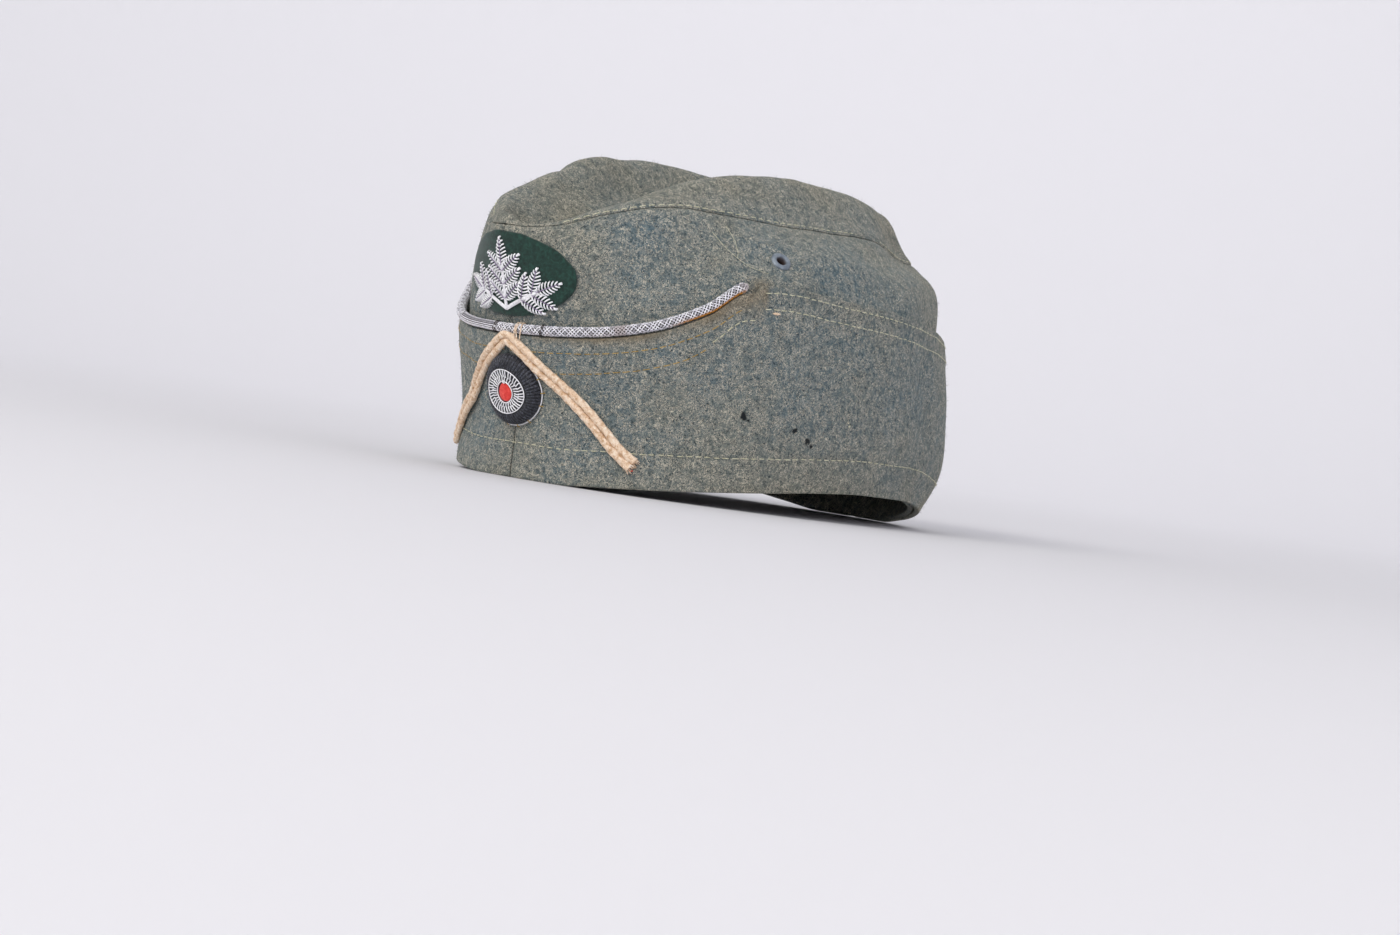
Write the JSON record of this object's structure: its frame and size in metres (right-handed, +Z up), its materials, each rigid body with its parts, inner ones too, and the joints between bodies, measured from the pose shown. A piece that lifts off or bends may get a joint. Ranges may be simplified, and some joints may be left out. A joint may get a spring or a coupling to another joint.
{
  "type": "field cap",
  "caption": "Soft wool side cap with a deep turned-up curtain, a folded top, corded edge piping, a chevron braid, a round cockade and a leaf badge.",
  "frame": {"origin": "on the surface the cap rests on, under the middle of its length and width", "axes": "the front of the cap faces -Y, the wearer's left is +X, and +Z is up"},
  "size_m": [0.172, 0.2356, 0.1312],
  "materials": {
    "field_wool": "heathered grey wool, lightly felted",
    "silver_cord": "twisted silver wire cord, lightly tarnished",
    "cream_braid": "soft woven wool braid, faded",
    "black_cord": "black cord wound over a domed core",
    "red_felt": "red felt",
    "eyelet_paint": "blue-grey enamel paint, worn at the rim",
    "backing_cloth": "dark green badge cloth"
  },
  "bodies": {
    "root": {"crown_side_left": "field_wool", "crown_side_right": "field_wool", "crown_top": "field_wool", "curtain_left": "field_wool", "curtain_right": "field_wool", "piping": "silver_cord", "chevron_braid": "cream_braid", "cockade_dome": "black_cord", "cockade_ring": "silver_cord", "cockade_button": "red_felt", "eyelet_left": "eyelet_paint", "eyelet_right": "eyelet_paint", "badge_backing": "backing_cloth", "badge_sprig": "silver_cord"}
  },
  "joints": []
}
